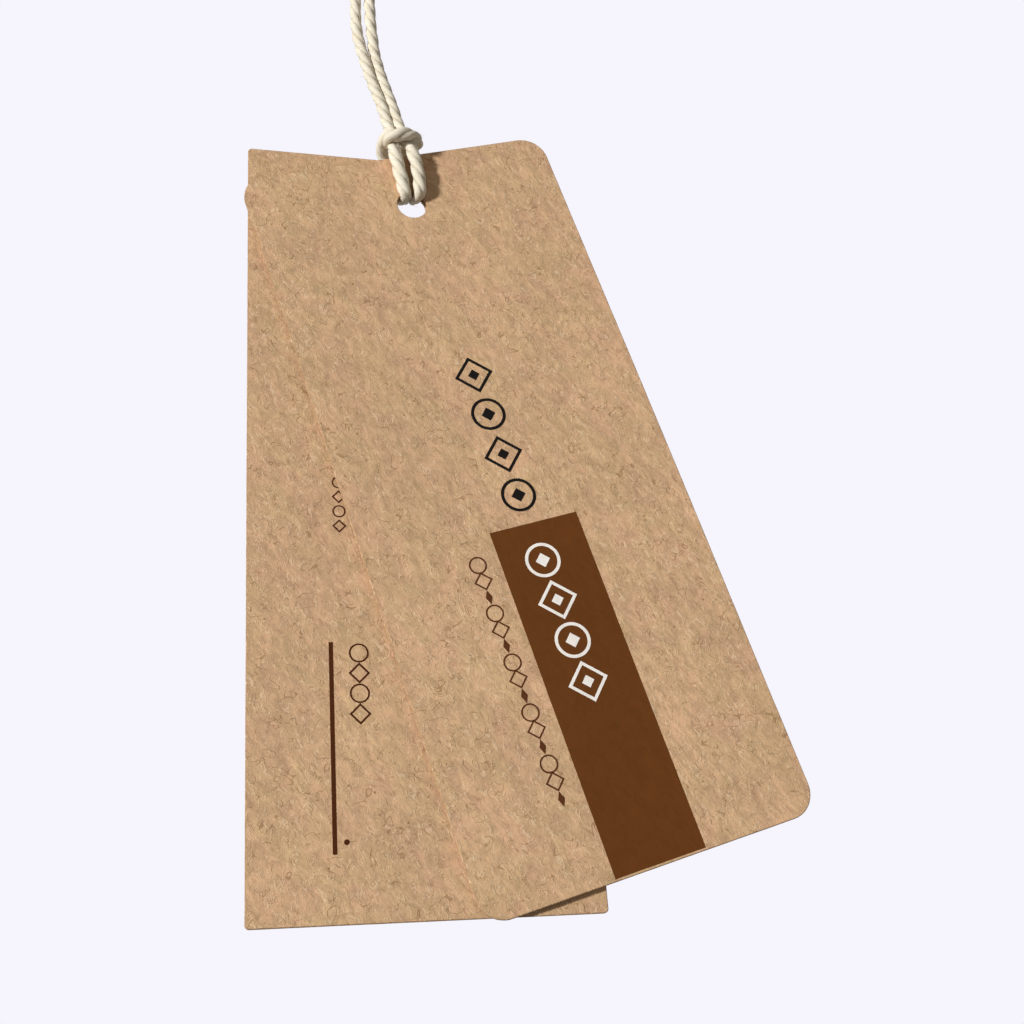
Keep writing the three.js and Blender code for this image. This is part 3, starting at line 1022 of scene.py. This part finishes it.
@dataclass
class TwistedCord:
    """The whole cord as one three-ply yarn, from which each piece takes its stretch."""

    route: CordRoute = field(default_factory=CordRoute)
    twist: Twist = Twist.S_LAY
    pitch: float = 6.8 * MM
    ply_offset: float = 0.27 * MM
    ply_radius: float = 0.56 * MM
    plies: int = 3
    ply_points: int = 11
    ring_step: float = 0.16 * MM
    span_steps: int = 24
    wander: float = 0.3
    wander_lengths: tuple[float, float] = (3.7 * MM, 9.1 * MM)
    uneven: float = 0.02
    uneven_lengths: tuple[float, float] = (1.3 * MM, 4.3 * MM)
    squash: float = 0.62
    squash_core: float = 0.6
    squash_reach: float = 1.5 * MM
    hitch_swell: float = 0.12
    hole_press: float = 0.2
    swell_reach: float = 3 * MM
    knot_foot: int = 4
    knot_hidden: float = 0.6

    def __post_init__(self) -> None:
        """Lay the cord's middle line, its turning frame and its cuts."""
        route = self.route
        parts = route.knot, route.strand, route.leg
        left_knot, left_strand, left_leg = (part(Side.LEFT) for part in parts)
        right_knot, right_strand, right_leg = (part(Side.RIGHT) for part in parts)
        controls = np.vstack([left_knot[::-1], left_strand[::-1], left_leg, route.bar_middle(),
                              right_leg[::-1], right_strand, right_knot])
        dense = centripetal(controls, self.span_steps)
        lengths = np.concatenate([[0], np.cumsum(np.linalg.norm(np.diff(dense, axis=0), axis=1))])
        count = round(lengths[-1] / self.ring_step)
        self.along = np.linspace(0, lengths[-1], count + 1)
        self.middle = np.column_stack([np.interp(self.along, lengths, dense[:, axis]) for axis in range(3)])
        marks = lengths[:: self.span_steps]
        right_knot_foot = len(controls) - 1 - len(right_knot)
        left, right = len(left_knot) - self.knot_foot, right_knot_foot + self.knot_foot
        self.cuts = {
            "left_top": self.ring_at(marks[left] + self.knot_hidden * (marks[left + 1] - marks[left])),
            "left_foot": self.ring_at(marks[len(left_knot) + len(left_strand)]),
            "right_foot": self.ring_at(marks[right_knot_foot - len(right_strand)]),
            "right_top": self.ring_at(marks[right] - self.knot_hidden * (marks[right] - marks[right - 1])),
        }
        self.turn_frames()

    def ring_at(self, length: float) -> int:
        """Find the ring nearest to a length along the cord."""
        return int(np.argmin(np.abs(self.along - length)))

    def turn_frames(self) -> None:
        """Carry a frame along the middle line without twisting it."""
        tangents = np.gradient(self.middle, self.along, axis=0)
        tangents /= np.linalg.norm(tangents, axis=1)[:, None]
        normal = np.cross(tangents[0], (0.0, 1.0, 0.0))
        normals = []
        for tangent in tangents:
            normal = normal - tangent * np.dot(normal, tangent)
            normal = normal / np.linalg.norm(normal)
            normals.append(normal)
        self.normals = np.array(normals)
        self.binormals = np.cross(tangents, self.normals)

    def section(self) -> tuple[np.ndarray, np.ndarray, np.ndarray]:
        """Give the yarn's section, the outline of plies side by side.

        Returns:
            The angle and radius of each point, and its place across the plies for the cord's map.
        """
        half = math.pi / self.plies
        local = np.linspace(-half, half, self.ply_points, endpoint=False)
        radius = self.ply_offset * np.cos(local)
        radius = radius + np.sqrt(self.ply_radius**2 - (self.ply_offset * np.sin(local)) ** 2)
        angles = np.concatenate([local + 2 * half * ply for ply in range(self.plies)])
        across = np.concatenate([local / half + 1 + 2 * ply for ply in range(self.plies)])
        return angles, np.tile(radius, self.plies), across

    def rings(self, stretch: Stretch) -> np.ndarray:
        """Place the points of each ring of a stretch.

        Args:
            stretch: The rings to place.

        Returns:
            An array of rings by points by 3.
        """
        angles, radii, _ = self.section()
        picked = slice(stretch.first, stretch.last + 1)
        along, middle = self.along[picked], self.middle[picked]
        short, long = self.wander_lengths
        wander = self.wander * np.sin(along / short) + self.wander * np.sin(along / long + 1)
        phase = self.twist.value * 2 * math.pi * along / self.pitch + wander
        turned = angles[None, :] + phase[:, None]
        near_hole = np.linalg.norm(middle - HOLE - (0, 0, self.route.hole_height), axis=1) / self.squash_reach
        pressed = 1 - smoothstep(near_hole - self.squash_core)
        feet = self.along[self.cuts["left_foot"]], self.along[self.cuts["right_foot"]]
        ends = (along - feet[0]) / self.swell_reach, (feet[1] - along) / self.swell_reach
        hitched = smoothstep(ends[0]) * smoothstep(ends[1])
        short, long = self.uneven_lengths
        swell = 1 + self.uneven * np.sin(along / short) * np.sin(along / long + 2)
        swell += self.hitch_swell * hitched - self.hole_press * pressed
        reach = radii[None, :] * swell[:, None]
        out = reach[..., None] * (np.cos(turned)[..., None] * self.normals[picked][:, None, :]
                                  + np.sin(turned)[..., None] * self.binormals[picked][:, None, :])
        out[..., 2] *= (1 - (1 - self.squash) * pressed)[:, None]
        return middle[:, None, :] + out

    def mesh(self, name: str, stretches: Sequence[Stretch]) -> bpy.types.Mesh:
        """Build closed skins for some stretches as one mesh.

        The rims of its flat ends are sharp, so that two stretches meet without a shaded seam.

        Args:
            name: The mesh's name.
            stretches: The stretches.

        Returns:
            The mesh, with the cord's own map.
        """
        across = self.section()[2]
        count = len(across)
        vertices, faces, uvs = [], [], []
        for stretch in stretches:
            base = len(vertices)
            rings = self.rings(stretch)
            vertices.extend(rings.reshape(-1, 3))
            along = self.along[stretch.first : stretch.last + 1] / MM
            for ring in range(len(rings) - 1):
                for point in range(count):
                    after = (point + 1) % count
                    low, high = base + ring * count, base + (ring + 1) * count
                    faces.append((low + point, low + after, high + after, high + point))
                    wrapped = across[point] + 2 / self.ply_points
                    uvs.extend([(along[ring], across[point]), (along[ring], wrapped),
                                (along[ring + 1], wrapped), (along[ring + 1], across[point])])
            for ring, turned in ((0, True), (len(rings) - 1, False)):
                vertices.append(rings[ring].mean(axis=0))
                middle, rim = len(vertices) - 1, base + ring * count
                for point in range(count):
                    pair = (rim + point, rim + (point + 1) % count)
                    faces.append((middle, *(pair[::-1] if turned else pair)))
                    uvs.extend([(along[ring], across[point])] * 3)
        mesh = bpy.data.meshes.new(name)
        mesh.from_pydata(vertices, [], faces)
        mesh.uv_layers.new(name=CORD_MAP).data.foreach_set("uv", np.array(uvs).ravel())
        mesh.shade_smooth()
        sharpen_between(mesh, [len(face) for face in faces])
        return mesh

    def build(self, cotton: Finish) -> dict[str, bpy.types.Object]:
        """Build the cord's four pieces.

        Args:
            cotton: Their material.

        Returns:
            The pieces by name.
        """
        LOG.info("the cord is %.0f mm long from tail to tail", self.along[-1] / MM)
        cuts, last = self.cuts, len(self.along) - 1
        stretches = {
            "cord_strand_left_yarn": [Stretch(cuts["left_top"], cuts["left_foot"])],
            "cord_strand_right_yarn": [Stretch(cuts["right_foot"], cuts["right_top"])],
            "cord_hitch_yarn": [Stretch(cuts["left_foot"], cuts["right_foot"])],
            "cord_knot_yarn": [Stretch(0, cuts["left_top"]), Stretch(cuts["right_top"], last)],
        }
        pieces = {}
        for name, parts in stretches.items():
            piece = new_object(name, self.mesh(name, parts), [cotton])
            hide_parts(name.removesuffix("_yarn"))
            pieces[name] = piece
        self.attach(pieces)
        return pieces

    def attach(self, pieces: dict[str, bpy.types.Object]) -> None:
        """Args:
            pieces: The cord's pieces by name.
        """
        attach(pieces["cord_hitch_yarn"], "hitch")
        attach(pieces["cord_knot_yarn"], "knot")
        ends = {"left": ("left_top", "left_foot"), "right": ("right_top", "right_foot")}
        for side, (top, foot) in ends.items():
            piece = pieces[f"cord_strand_{side}_yarn"]
            twist_strand(piece)
            low, high = sorted((self.cuts[top], self.cuts[foot]))
            line = self.middle[low : high + 1]
            if self.cuts[foot] > self.cuts[top]:
                line = line[::-1]


def twist_strand(piece: bpy.types.Object) -> None:
    """Bake the place of a piece on a free strand into its mesh.

    Args:
        piece: The piece.
    """
    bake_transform(piece)


@dataclass(frozen=True)
class HairCoat:
    """How thickly hairs stand on a skin, to the square metre, and their sizes."""

    density: float
    length: float
    width: float
    lift: float


@dataclass(frozen=True)
class CordFuzz:
    """Loose hairs on the cord, and the frayed ends of its two tails."""

    tree: bpy.types.NodeTree
    hair: Finish
    loose: HairCoat = HairCoat(0.45e6, 1.0 * MM, 0.012 * MM, 0.16)
    frayed: HairCoat = HairCoat(90e6, 1.3 * MM, 0.06 * MM, 1.7)
    frayed_seed: int = 11
    frayed_share: float = 0.9

    def grow(self, name: str, skin: bpy.types.Mesh, coat: HairCoat, seed: int) -> bpy.types.Object:
        """Grow hairs on a skin.

        Args:
            name: The name of the hairs' piece.
            skin: The mesh that they grow on.
            coat: How thick and how long they are.
            seed: The number that scatters them.

        Returns:
            The hairs.
        """
        inputs = {"Density": coat.density, "Length": coat.length, "Width": coat.width, "Lift": coat.lift,
                  "Seed": seed, "Finish": self.hair}
        hairs = grown(name, skin, self.tree, inputs)
        hairs.materials.clear()
        return new_object(name, hairs, [self.hair])

    def build(self, yarns: dict[str, bpy.types.Object]) -> list[bpy.types.Object]:
        """Grow the hairs of each of the cord's pieces.

        Args:
            yarns: The cord's pieces by name.

        Returns:
            The hairs, a piece for each of the cord's.
        """
        pieces = []
        for seed, (name, yarn) in enumerate(sorted(yarns.items())):
            piece = self.grow(name.replace("yarn", "hairs"), yarn.data.copy(), self.loose, seed)
            if "strand" in name:
                twist_strand(piece)
            else:
                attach(piece, "hitch" if "hitch" in name else "knot")
            pieces.append(piece)
        return pieces

    def fray(self, cord: TwistedCord) -> list[bpy.types.Object]:
        """Fray the ends of the two tails.

        Args:
            cord: The cord.

        Returns:
            The two brushes.
        """
        pieces = []
        for side, end in ((Side.LEFT, 0), (Side.RIGHT, len(cord.along) - 1)):
            name = f"cord_tail_{side.name.lower()}"
            rim = cord.rings(Stretch(end, end))[0]
            middle = rim.mean(axis=0)
            disc = bpy.data.meshes.new(name + "_cut")
            order = range(len(rim))[::side.value]
            disc.from_pydata([*(middle + self.frayed_share * (rim - middle))], [], [tuple(order)])
            piece = self.grow(name + "_fray", disc, self.frayed, self.frayed_seed)
            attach(piece, "knot")
            pieces.append(piece)
        return pieces


def roughened(points: np.ndarray, grain: float = 0.5 * MM, reach: float = 0.02 * MM) -> np.ndarray:
    """Roughen a cut edge, as torn fibres do.

    Args:
        points: The edge's points.
        grain: The size of the roughness along the edge.
        reach: How far it moves a point at most.

    Returns:
        The moved points.
    """
    shifts = [noise.noise(Vector(point) / grain) * reach for point in points]
    moved = points.copy()
    moved[:, 0] += shifts
    moved[:, 1] += shifts
    return moved


def filled(outer: np.ndarray, holes: Sequence[np.ndarray], grid: float) -> tuple[np.ndarray, list, list]:
    """Fill an outline with small triangles.

    Args:
        outer: The outline, anticlockwise.
        holes: Round holes in it.
        grid: The spacing of the points inside.

    Returns:
        The points, the triangles and, for the outline and each hole, the numbers of its points.
    """
    low, high = outer.min(axis=0), outer.max(axis=0)
    margin = LEAST_GAP * grid
    columns = np.arange(low[0] + grid / 2, high[0], grid)
    rows = np.arange(low[1] + grid / 2, high[1], grid)
    inside = np.array([(x, y) for y in rows for x in columns]).reshape(-1, 2)
    keep = np.minimum(inside - low, high - inside).min(axis=1) > margin
    rounds = [(hole.mean(axis=0), np.linalg.norm(hole[0] - hole.mean(axis=0))) for hole in holes]
    for middle, radius in rounds:
        keep &= np.linalg.norm(inside - middle, axis=1) > radius + margin
    starts = list(accumulate(map(len, (outer, *holes)), initial=0))
    spans = [range(start, end) for start, end in pairwise(starts)]
    edges = [pair for span in spans for pair in zip(span, [*span[1:], span[0]])]
    points = [Vector(point) for point in np.vstack([outer, *holes, inside[keep]])]
    made, _, triangles, origins, _, _ = delaunay_2d_cdt(points, edges, [], 1, SAME_POINT)
    made = np.array([tuple(point) for point in made])
    for middle, radius in rounds:
        away = [np.linalg.norm(made[list(triangle)].mean(axis=0) - middle) for triangle in triangles]
        triangles = [triangle for triangle, far in zip(triangles, away) if far > IN_RIM * radius]
    number = {origin: index for index, found in enumerate(origins) for origin in found}
    return made, triangles, [[number[index] for index in span] for span in spans]


def patch_mesh(name: str, outline: np.ndarray, film: float, grid: float) -> bpy.types.Mesh:
    """Build a thin closed film over an outline.

    Args:
        name: The mesh's name.
        outline: The outline, anticlockwise.
        film: How far its face stands out of the board.
        grid: The spacing of its points.

    Returns:
        The mesh, right and up, and out of the face.
    """
    flat, triangles, (loop,) = filled(outline, [], grid)
    count = len(flat)
    points = np.vstack([np.column_stack([flat, np.full(count, height)]) for height in (film, -film)])
    mesh = bpy.data.meshes.new(name)
    under = [count + index for index in loop]
    mesh.from_pydata(points, [], two_sided(triangles, count) + wall(loop, under))
    return mesh


@dataclass(frozen=True)
class Card:
    """One board card, placed about its hole. Its cut edge's profile is in millimetres inwards and back."""

    node: str
    body: str
    width: float
    length: float
    corner: float
    hole_drop: float
    hole_inset: float
    near: float
    fan: float
    board: float = 0.5 * MM
    hole: float = 2.0 * MM
    hole_points: int = 72
    corner_steps: int = 14
    side_step: float = 1.5 * MM
    wave: float = 0.06 * MM
    wave_phase: float = 0.0
    cross_share: float = 0.6
    long_wave: tuple[float, float] = (130 * MM, 90 * MM)
    cross_wave: tuple[float, float] = (55 * MM, -120 * MM)
    grid: float = 2.0 * MM
    profile: tuple[tuple[float, float], ...] = (
        (0.1, 0.0), (0.035, 0.02), (0.0, 0.08), (-0.005, 0.25), (0.0, 0.42), (0.035, 0.48), (0.1, 0.5))

    def warp(self, u: np.ndarray, v: np.ndarray) -> np.ndarray:
        """Give how far the board stands back from flat.

        Args:
            u: How far right of the hole's centre.
            v: How far up from it.

        Returns:
            The distances, one for each place.
        """
        turns = [u / right + v / up for right, up in (self.long_wave, self.cross_wave)]
        first = np.sin(2 * math.pi * turns[0] + self.wave_phase)
        second = np.sin(2 * math.pi * turns[1] + 2 * self.wave_phase)
        return self.wave * (first + self.cross_share * second)

    def place(self, points: np.ndarray) -> np.ndarray:
        """Put points given on the card in the tag's own frame.

        Args:
            points: Rows of right, up and back, from the hole's centre and the card's front face.

        Returns:
            The same points in the frame.
        """
        u, v, back = points[:, 0], points[:, 1], points[:, 2]
        x = u * math.cos(self.fan) - v * math.sin(self.fan)
        z = u * math.sin(self.fan) + v * math.cos(self.fan)
        return np.column_stack([x, self.near + back + self.warp(u, v), z]) + HOLE

    def outline(self, inset: float) -> np.ndarray:
        """Give the card's outline, anticlockwise as seen from the front.

        Args:
            inset: How far inside the cut edge it runs.

        Returns:
            Its points, right and up from the hole's centre.
        """
        left, bottom = -self.hole_inset, self.hole_drop - self.length
        right, top = left + self.width, self.hole_drop
        radius, steps = self.corner, self.corner_steps
        corners = [(right, bottom, -90), (right, top, 0), (left, top, 90), (left, bottom, 180)]
        arcs = []
        for x, y, start in corners:
            upwards = y - (bottom + top) / 2
            middle = np.array((x - math.copysign(radius, x), y - math.copysign(radius, upwards)))
            angles = np.radians(start + 90 * np.arange(steps + 1) / steps)
            arcs.append(middle + (radius - inset) * np.column_stack([np.cos(angles), np.sin(angles)]))
        points = []
        for arc, after in zip(arcs, arcs[1:] + arcs[:1]):
            points.append(arc)
            span = after[0] - arc[-1]
            count = max(1, round(np.linalg.norm(span) / self.side_step))
            points.append(arc[-1] + span * (np.arange(1, count) / count)[:, None])
        return np.vstack(points)

    def rim(self, inset: float) -> np.ndarray:
        """Give the hole's edge, anticlockwise, that far into the board."""
        angles = 2 * math.pi * np.arange(self.hole_points) / self.hole_points
        return (self.hole + inset) * np.column_stack([np.cos(angles), np.sin(angles)])

    def mesh(self) -> bpy.types.Mesh:
        """Build the board with its rounded die-cut edges.

        Returns:
            The mesh. Its faces have material 0 on the two sides and 1 on the cut edges.
        """
        (inset, _), *rounding, _ = [(inward * MM, depth * MM) for inward, depth in self.profile]
        flat, triangles, loops = filled(self.outline(inset), [self.rim(inset)], self.grid)
        count = len(flat)
        front = np.column_stack([flat, np.zeros(count)])
        vertices = [front, front + (0, 0, self.board)]
        faces = two_sided(triangles, count)
        sides = len(faces)
        used = 2 * count
        for loop, shape, outwards in ((loops[0], self.outline, True), (loops[1], self.rim, False)):
            rows = [loop]
            for inward, depth in rounding:
                ring = shape(inward)
                rows.append(list(range(used, used + len(ring))))
                vertices.append(roughened(np.column_stack([ring, np.full(len(ring), depth)])))
                used += len(ring)
            rows.append([count + index for index in loop])
            quads = [quad for upper, lower in pairwise(rows) for quad in wall(upper, lower)]
            faces += quads if outwards else [quad[::-1] for quad in quads]
        kinds = [0] * sides + [1] * (len(faces) - sides)
        mesh = bpy.data.meshes.new(self.node + "_board")
        mesh.from_pydata(self.place(np.vstack(vertices)), [], faces)
        mesh.polygons.foreach_set("material_index", kinds)
        mesh.shade_smooth()
        sharpen_between(mesh, kinds)
        return mesh

    def build(self, face: Finish, edge: Finish, slot: str) -> bpy.types.Object:
        """Build the card's board.

        Args:
            face: The material of its two sides.
            edge: The material of its cut edges.
            slot: The record's material slot. Not used.

        Returns:
            The board.
        """
        piece = new_object(self.node + "_board", self.mesh(), [face, edge])
        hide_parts(self.node)
        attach(piece, self.body)
        return piece

    def film(self, local: bpy.types.Mesh, ink: Finish) -> bpy.types.Object:
        """Lay a print on the card's front face.

        Args:
            local: Its mesh, right and up from the hole's centre, and out of the face.
            ink: Its material.

        Returns:
            The print, named as its mesh.
        """
        points = np.zeros(len(local.vertices) * 3)
        local.vertices.foreach_get("co", points)
        points = points.reshape(-1, 3) * (1, 1, -1)
        local.vertices.foreach_set("co", self.place(points).ravel())
        local.update()
        local.materials.clear()
        piece = new_object(local.name, local, [ink])
        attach(piece, self.body)
        return piece


@dataclass(frozen=True)
class Motif:
    """One small printed shape: a regular outline with a filled spot in it.

    Sizes are in millimetres. With a stroke of 0 it has only the spot, and with a spot of 0 only the outline.
    """

    sides: int
    radius: float
    stroke: float
    spot_sides: int = 4
    spot: float = 0.0
    aspect: float = 1.0

    def outline(self, sides: int, radius: float) -> np.ndarray:
        """Give a regular outline about the motif's middle, with a corner at its top."""
        angles = math.pi / 2 + 2 * math.pi * np.arange(sides) / sides
        return radius * np.column_stack([np.cos(angles), self.aspect * np.sin(angles)])


@dataclass
class Shells:
    """Points and faces of thin closed shells, as they are added."""

    points: list[tuple[float, float, float]] = field(default_factory=list)
    faces: list[tuple[int, ...]] = field(default_factory=list)

    def ring(self, flat: np.ndarray, height: float) -> list[int]:
        """Add an outline's points at a height and give their numbers."""
        self.points.extend((x, y, height) for x, y in flat)
        return list(range(len(self.points) - len(flat), len(self.points)))


@dataclass(frozen=True)
class PrintRow:
    """Printed motifs in a straight row down a card, in millimetres from the hole's centre."""

    name: str
    right: float
    top: float
    spacing: float
    repeats: int
    motifs: tuple[Motif, ...]
    film: float = 0.02

    def add_motif(self, shells: Shells, number: int) -> None:
        """Add one motif of the row.

        Args:
            shells: What it is added to.
            number: Which of the row's motifs.
        """
        motif = self.motifs[number]
        centre = np.array((self.right, self.top - number * self.spacing))
        high, low = self.film, -self.film
        if motif.stroke:
            inner = motif.radius - motif.stroke / math.cos(math.pi / motif.sides)
            section = ((motif.radius, high), (motif.radius, low), (inner, low), (inner, high))
            rings = [shells.ring(motif.outline(motif.sides, radius) + centre, height)
                     for radius, height in section]
            for upper, lower in zip(rings, rings[1:] + rings[:1]):
                shells.faces += wall(upper, lower)
        if motif.spot:
            spot = motif.outline(motif.spot_sides, motif.spot) + centre
            upper, lower = shells.ring(spot, high), shells.ring(spot, low)
            shells.faces += [*wall(upper, lower), tuple(upper), tuple(lower[::-1])]

    def mesh(self, tree: bpy.types.NodeTree, ink: Finish) -> bpy.types.Mesh:
        """Build the row.

        Args:
            tree: The tree that repeats a motif.
            ink: The row's material.

        Returns:
            The mesh, right and up from the hole's centre, and out of the face, in metres.
        """
        shells = Shells()
        for number in range(len(self.motifs)):
            self.add_motif(shells, number)
        unit = bpy.data.meshes.new(self.name + "_unit")
        unit.from_pydata(np.array(shells.points) * MM, [], shells.faces)
        step = (0.0, -len(self.motifs) * self.spacing * MM, 0.0)
        return grown(self.name, unit, tree, {"Count": self.repeats, "Step": step, "Ink": ink})


@dataclass(frozen=True)
class FrontPrint:
    """The front card's print: a brown band, plain ornaments above and on it, and a fine row beside it."""

    band: tuple[float, float, float, float] = (-5.6, 6.1, -90.9, -47.6)
    film: float = 0.015
    step: float = 2.0
    lozenge: Motif = Motif(4, 2.6, 0.38, 4, 0.8)
    ring: Motif = Motif(40, 2.25, 0.4, 4, 0.95)
    small: tuple[Motif, ...] = (Motif(24, 1.12, 0.2), Motif(4, 1.2, 0.2), Motif(3, 0, 0, 4, 0.42, 2.2))

    def band_mesh(self) -> bpy.types.Mesh:
        """Build the band.

        Returns:
            Its mesh, right and up from the hole's centre.
        """
        left, right, bottom, top = (side * MM for side in self.band)
        step = self.step * MM
        across = np.arange(left, right - LEAST_GAP * step, step)
        upward = np.arange(bottom, top - LEAST_GAP * step, step)
        outline = np.vstack([
            [(x, bottom) for x in across], [(right, y) for y in upward],
            [(left + right - x, top) for x in across], [(left, bottom + top - y) for y in upward]])
        return patch_mesh("front_print_band", outline, self.film * MM, step)

    def build(self, card: Card, row_tree: bpy.types.NodeTree, palette: Palette) -> list[bpy.types.Object]:
        """Build and lay the prints.

        Args:
            card: The card.
            row_tree: The tree that repeats a motif.
            palette: The shared shader groups.

        Returns:
            The prints.
        """
        brown = InkFinish("brown_ink", srgb(101, 58, 22), 0.015).material(palette)
        black = InkFinish("black_ink", srgb(17, 14, 12), 0.015).material(palette)
        white = InkFinish("white_ink", srgb(247, 243, 236), 0.0,
                          show_fibre=srgb(222, 200, 176)).material(palette)
        fine = InkFinish("fine_brown_ink", srgb(88, 50, 26), 0.04).material(palette)
        rows = [
            (PrintRow("front_print_upper", -0.3, -26.4, 5.75, 2, (self.lozenge, self.ring)), black),
            (PrintRow("front_print_lower", -0.3, -52.6, 5.3, 2, (self.ring, self.lozenge), 0.035), white),
            (PrintRow("front_print_fine", -8.4, -51.2, 2.1, 5, self.small), fine),
        ]
        band = card.film(self.band_mesh(), brown)
        return [band, *(card.film(row.mesh(row_tree, ink), ink) for row, ink in rows)]


@dataclass(frozen=True)
class RearPrint:
    """The rear card's print: a ruled line, small marks beside its top and a few smaller ones above."""

    line: tuple[float, float, float, float] = (-12.25, -11.75, -85.1, -61.0)
    film: float = 0.015
    step: float = 2.0
    line_points: int = 14
    tall: tuple[Motif, ...] = (Motif(28, 1.15, 0.2), Motif(4, 1.25, 0.22))
    small: tuple[Motif, ...] = (Motif(20, 0.8, 0.17), Motif(4, 0.85, 0.18))
    spot: tuple[Motif, ...] = (Motif(3, 0, 0, 12, 0.32),)

    def line_mesh(self) -> bpy.types.Mesh:
        """Build the ruled line.

        Returns:
            Its mesh, right and up from the hole's centre.
        """
        left, right, bottom, top = (side * MM for side in self.line)
        upward = np.linspace(bottom, top, self.line_points)[:-1]
        outline = np.vstack([[(left, bottom)], [(right, y) for y in upward],
                             [(right, top)], [(left, bottom + top - y) for y in upward[:-1]]])
        return patch_mesh("rear_print_line", outline, self.film * MM, self.step * MM)

    def build(self, card: Card, row_tree: bpy.types.NodeTree, palette: Palette) -> list[bpy.types.Object]:
        """Build and lay the prints.

        Args:
            card: The card.
            row_tree: The tree that repeats a motif.
            palette: The shared shader groups.

        Returns:
            The prints.
        """
        ink = InkFinish("ruled_ink", srgb(74, 36, 12), 0.03).material(palette)
        rows = [
            PrintRow("rear_print_tall", -8.8, -62.3, 2.4, 2, self.tall),
            PrintRow("rear_print_small", -10.7, -37.0, 1.9, 3, self.small),
            PrintRow("rear_print_spot", -10.7, -83.8, 1.0, 1, self.spot),
        ]
        line = card.film(self.line_mesh(), ink)
        return [line, *(card.film(row.mesh(row_tree, ink), ink) for row in rows)]


def main() -> None:
    """Build the tag and its studio, and report each piece."""
    logging.basicConfig(level=logging.INFO, format="%(message)s")
    scene = bpy.context.scene
    scene.view_settings.view_transform = "Standard"
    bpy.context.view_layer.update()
    PhotoCamera().aim()
    palette = Palette(kraft_group(), yarn_group())
    cord = TwistedCord()
    yarns = cord.build(CottonFinish("cotton_cord").material(palette))
    fuzz = CordFuzz(loose_hair_group(), HairFinish("cotton_hairs").material())
    pieces = [*yarns.values(), *fuzz.build(yarns), *fuzz.fray(cord)]

    front = Card("front_card", "front", width=43.2 * MM, length=99 * MM, corner=3.4 * MM, hole_drop=7.8 * MM,
                 hole_inset=21.6 * MM, near=-0.65 * MM, fan=FAN)
    rear = Card("rear_card", "rear", width=40 * MM, length=100 * MM, corner=0.5 * MM, hole_drop=7.5 * MM,
                hole_inset=21.6 * MM, near=0.15 * MM, fan=-FAN, wave_phase=0.4)
    face = KraftFinish("kraft_board").material(palette)
    rear_face = KraftFinish("kraft_board_rear", seed=211.0).material(palette)
    # The cut edge is darker than the face. This is painted shade, so that the edges facing the key lamp don't
    # show as pale lines.
    edge = KraftFinish("kraft_cut_edge_painted_shade", warm=srgb(172, 137, 102), cool=srgb(182, 148, 112), relief=0.1 * MM,
                       seed=19.0).material(palette)
    pieces += [front.build(face, edge, "front_board"), rear.build(rear_face, edge, "rear_board")]
    rows = print_row_group()
    pieces += [*FrontPrint().build(front, rows, palette), *RearPrint().build(rear, rows, palette)]
    for piece in pieces:
        report(piece)

    Studio().build()


if __name__ == "__main__":
    main()
